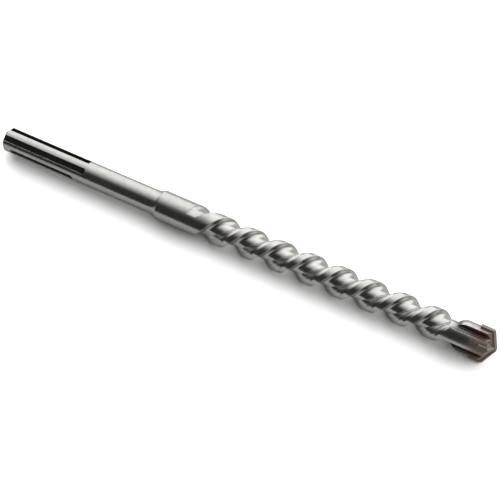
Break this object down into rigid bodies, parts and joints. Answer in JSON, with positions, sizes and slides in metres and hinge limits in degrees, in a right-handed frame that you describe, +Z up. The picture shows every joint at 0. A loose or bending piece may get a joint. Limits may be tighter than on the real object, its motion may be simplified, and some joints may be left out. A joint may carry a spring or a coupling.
{
  "type": "hammer drill bit",
  "caption": "Masonry hammer drill bit with a slotted 18 mm shank, a plain collar, two helical flutes and a four-lobed head with brazed carbide cutters",
  "frame": {"origin": "centre of the shank's rear face, on the bit's axis", "axes": "+X runs along the bit to its tip, +Z is up as the bit lies on its side, and -Y is the side that the picture is taken from"},
  "size_m": [0.3767, 0.022, 0.022],
  "materials": {
    "tool_steel": "satin ground and blasted steel, heat-tinted brown at the head",
    "carbide": "dull sintered carbide, heat-tinted"
  },
  "bodies": {
    "root": {"drill_body": "tool_steel", "main_cutter_plate": "carbide", "side_cutter_near": "carbide", "side_cutter_far": "carbide"}
  },
  "joints": []
}
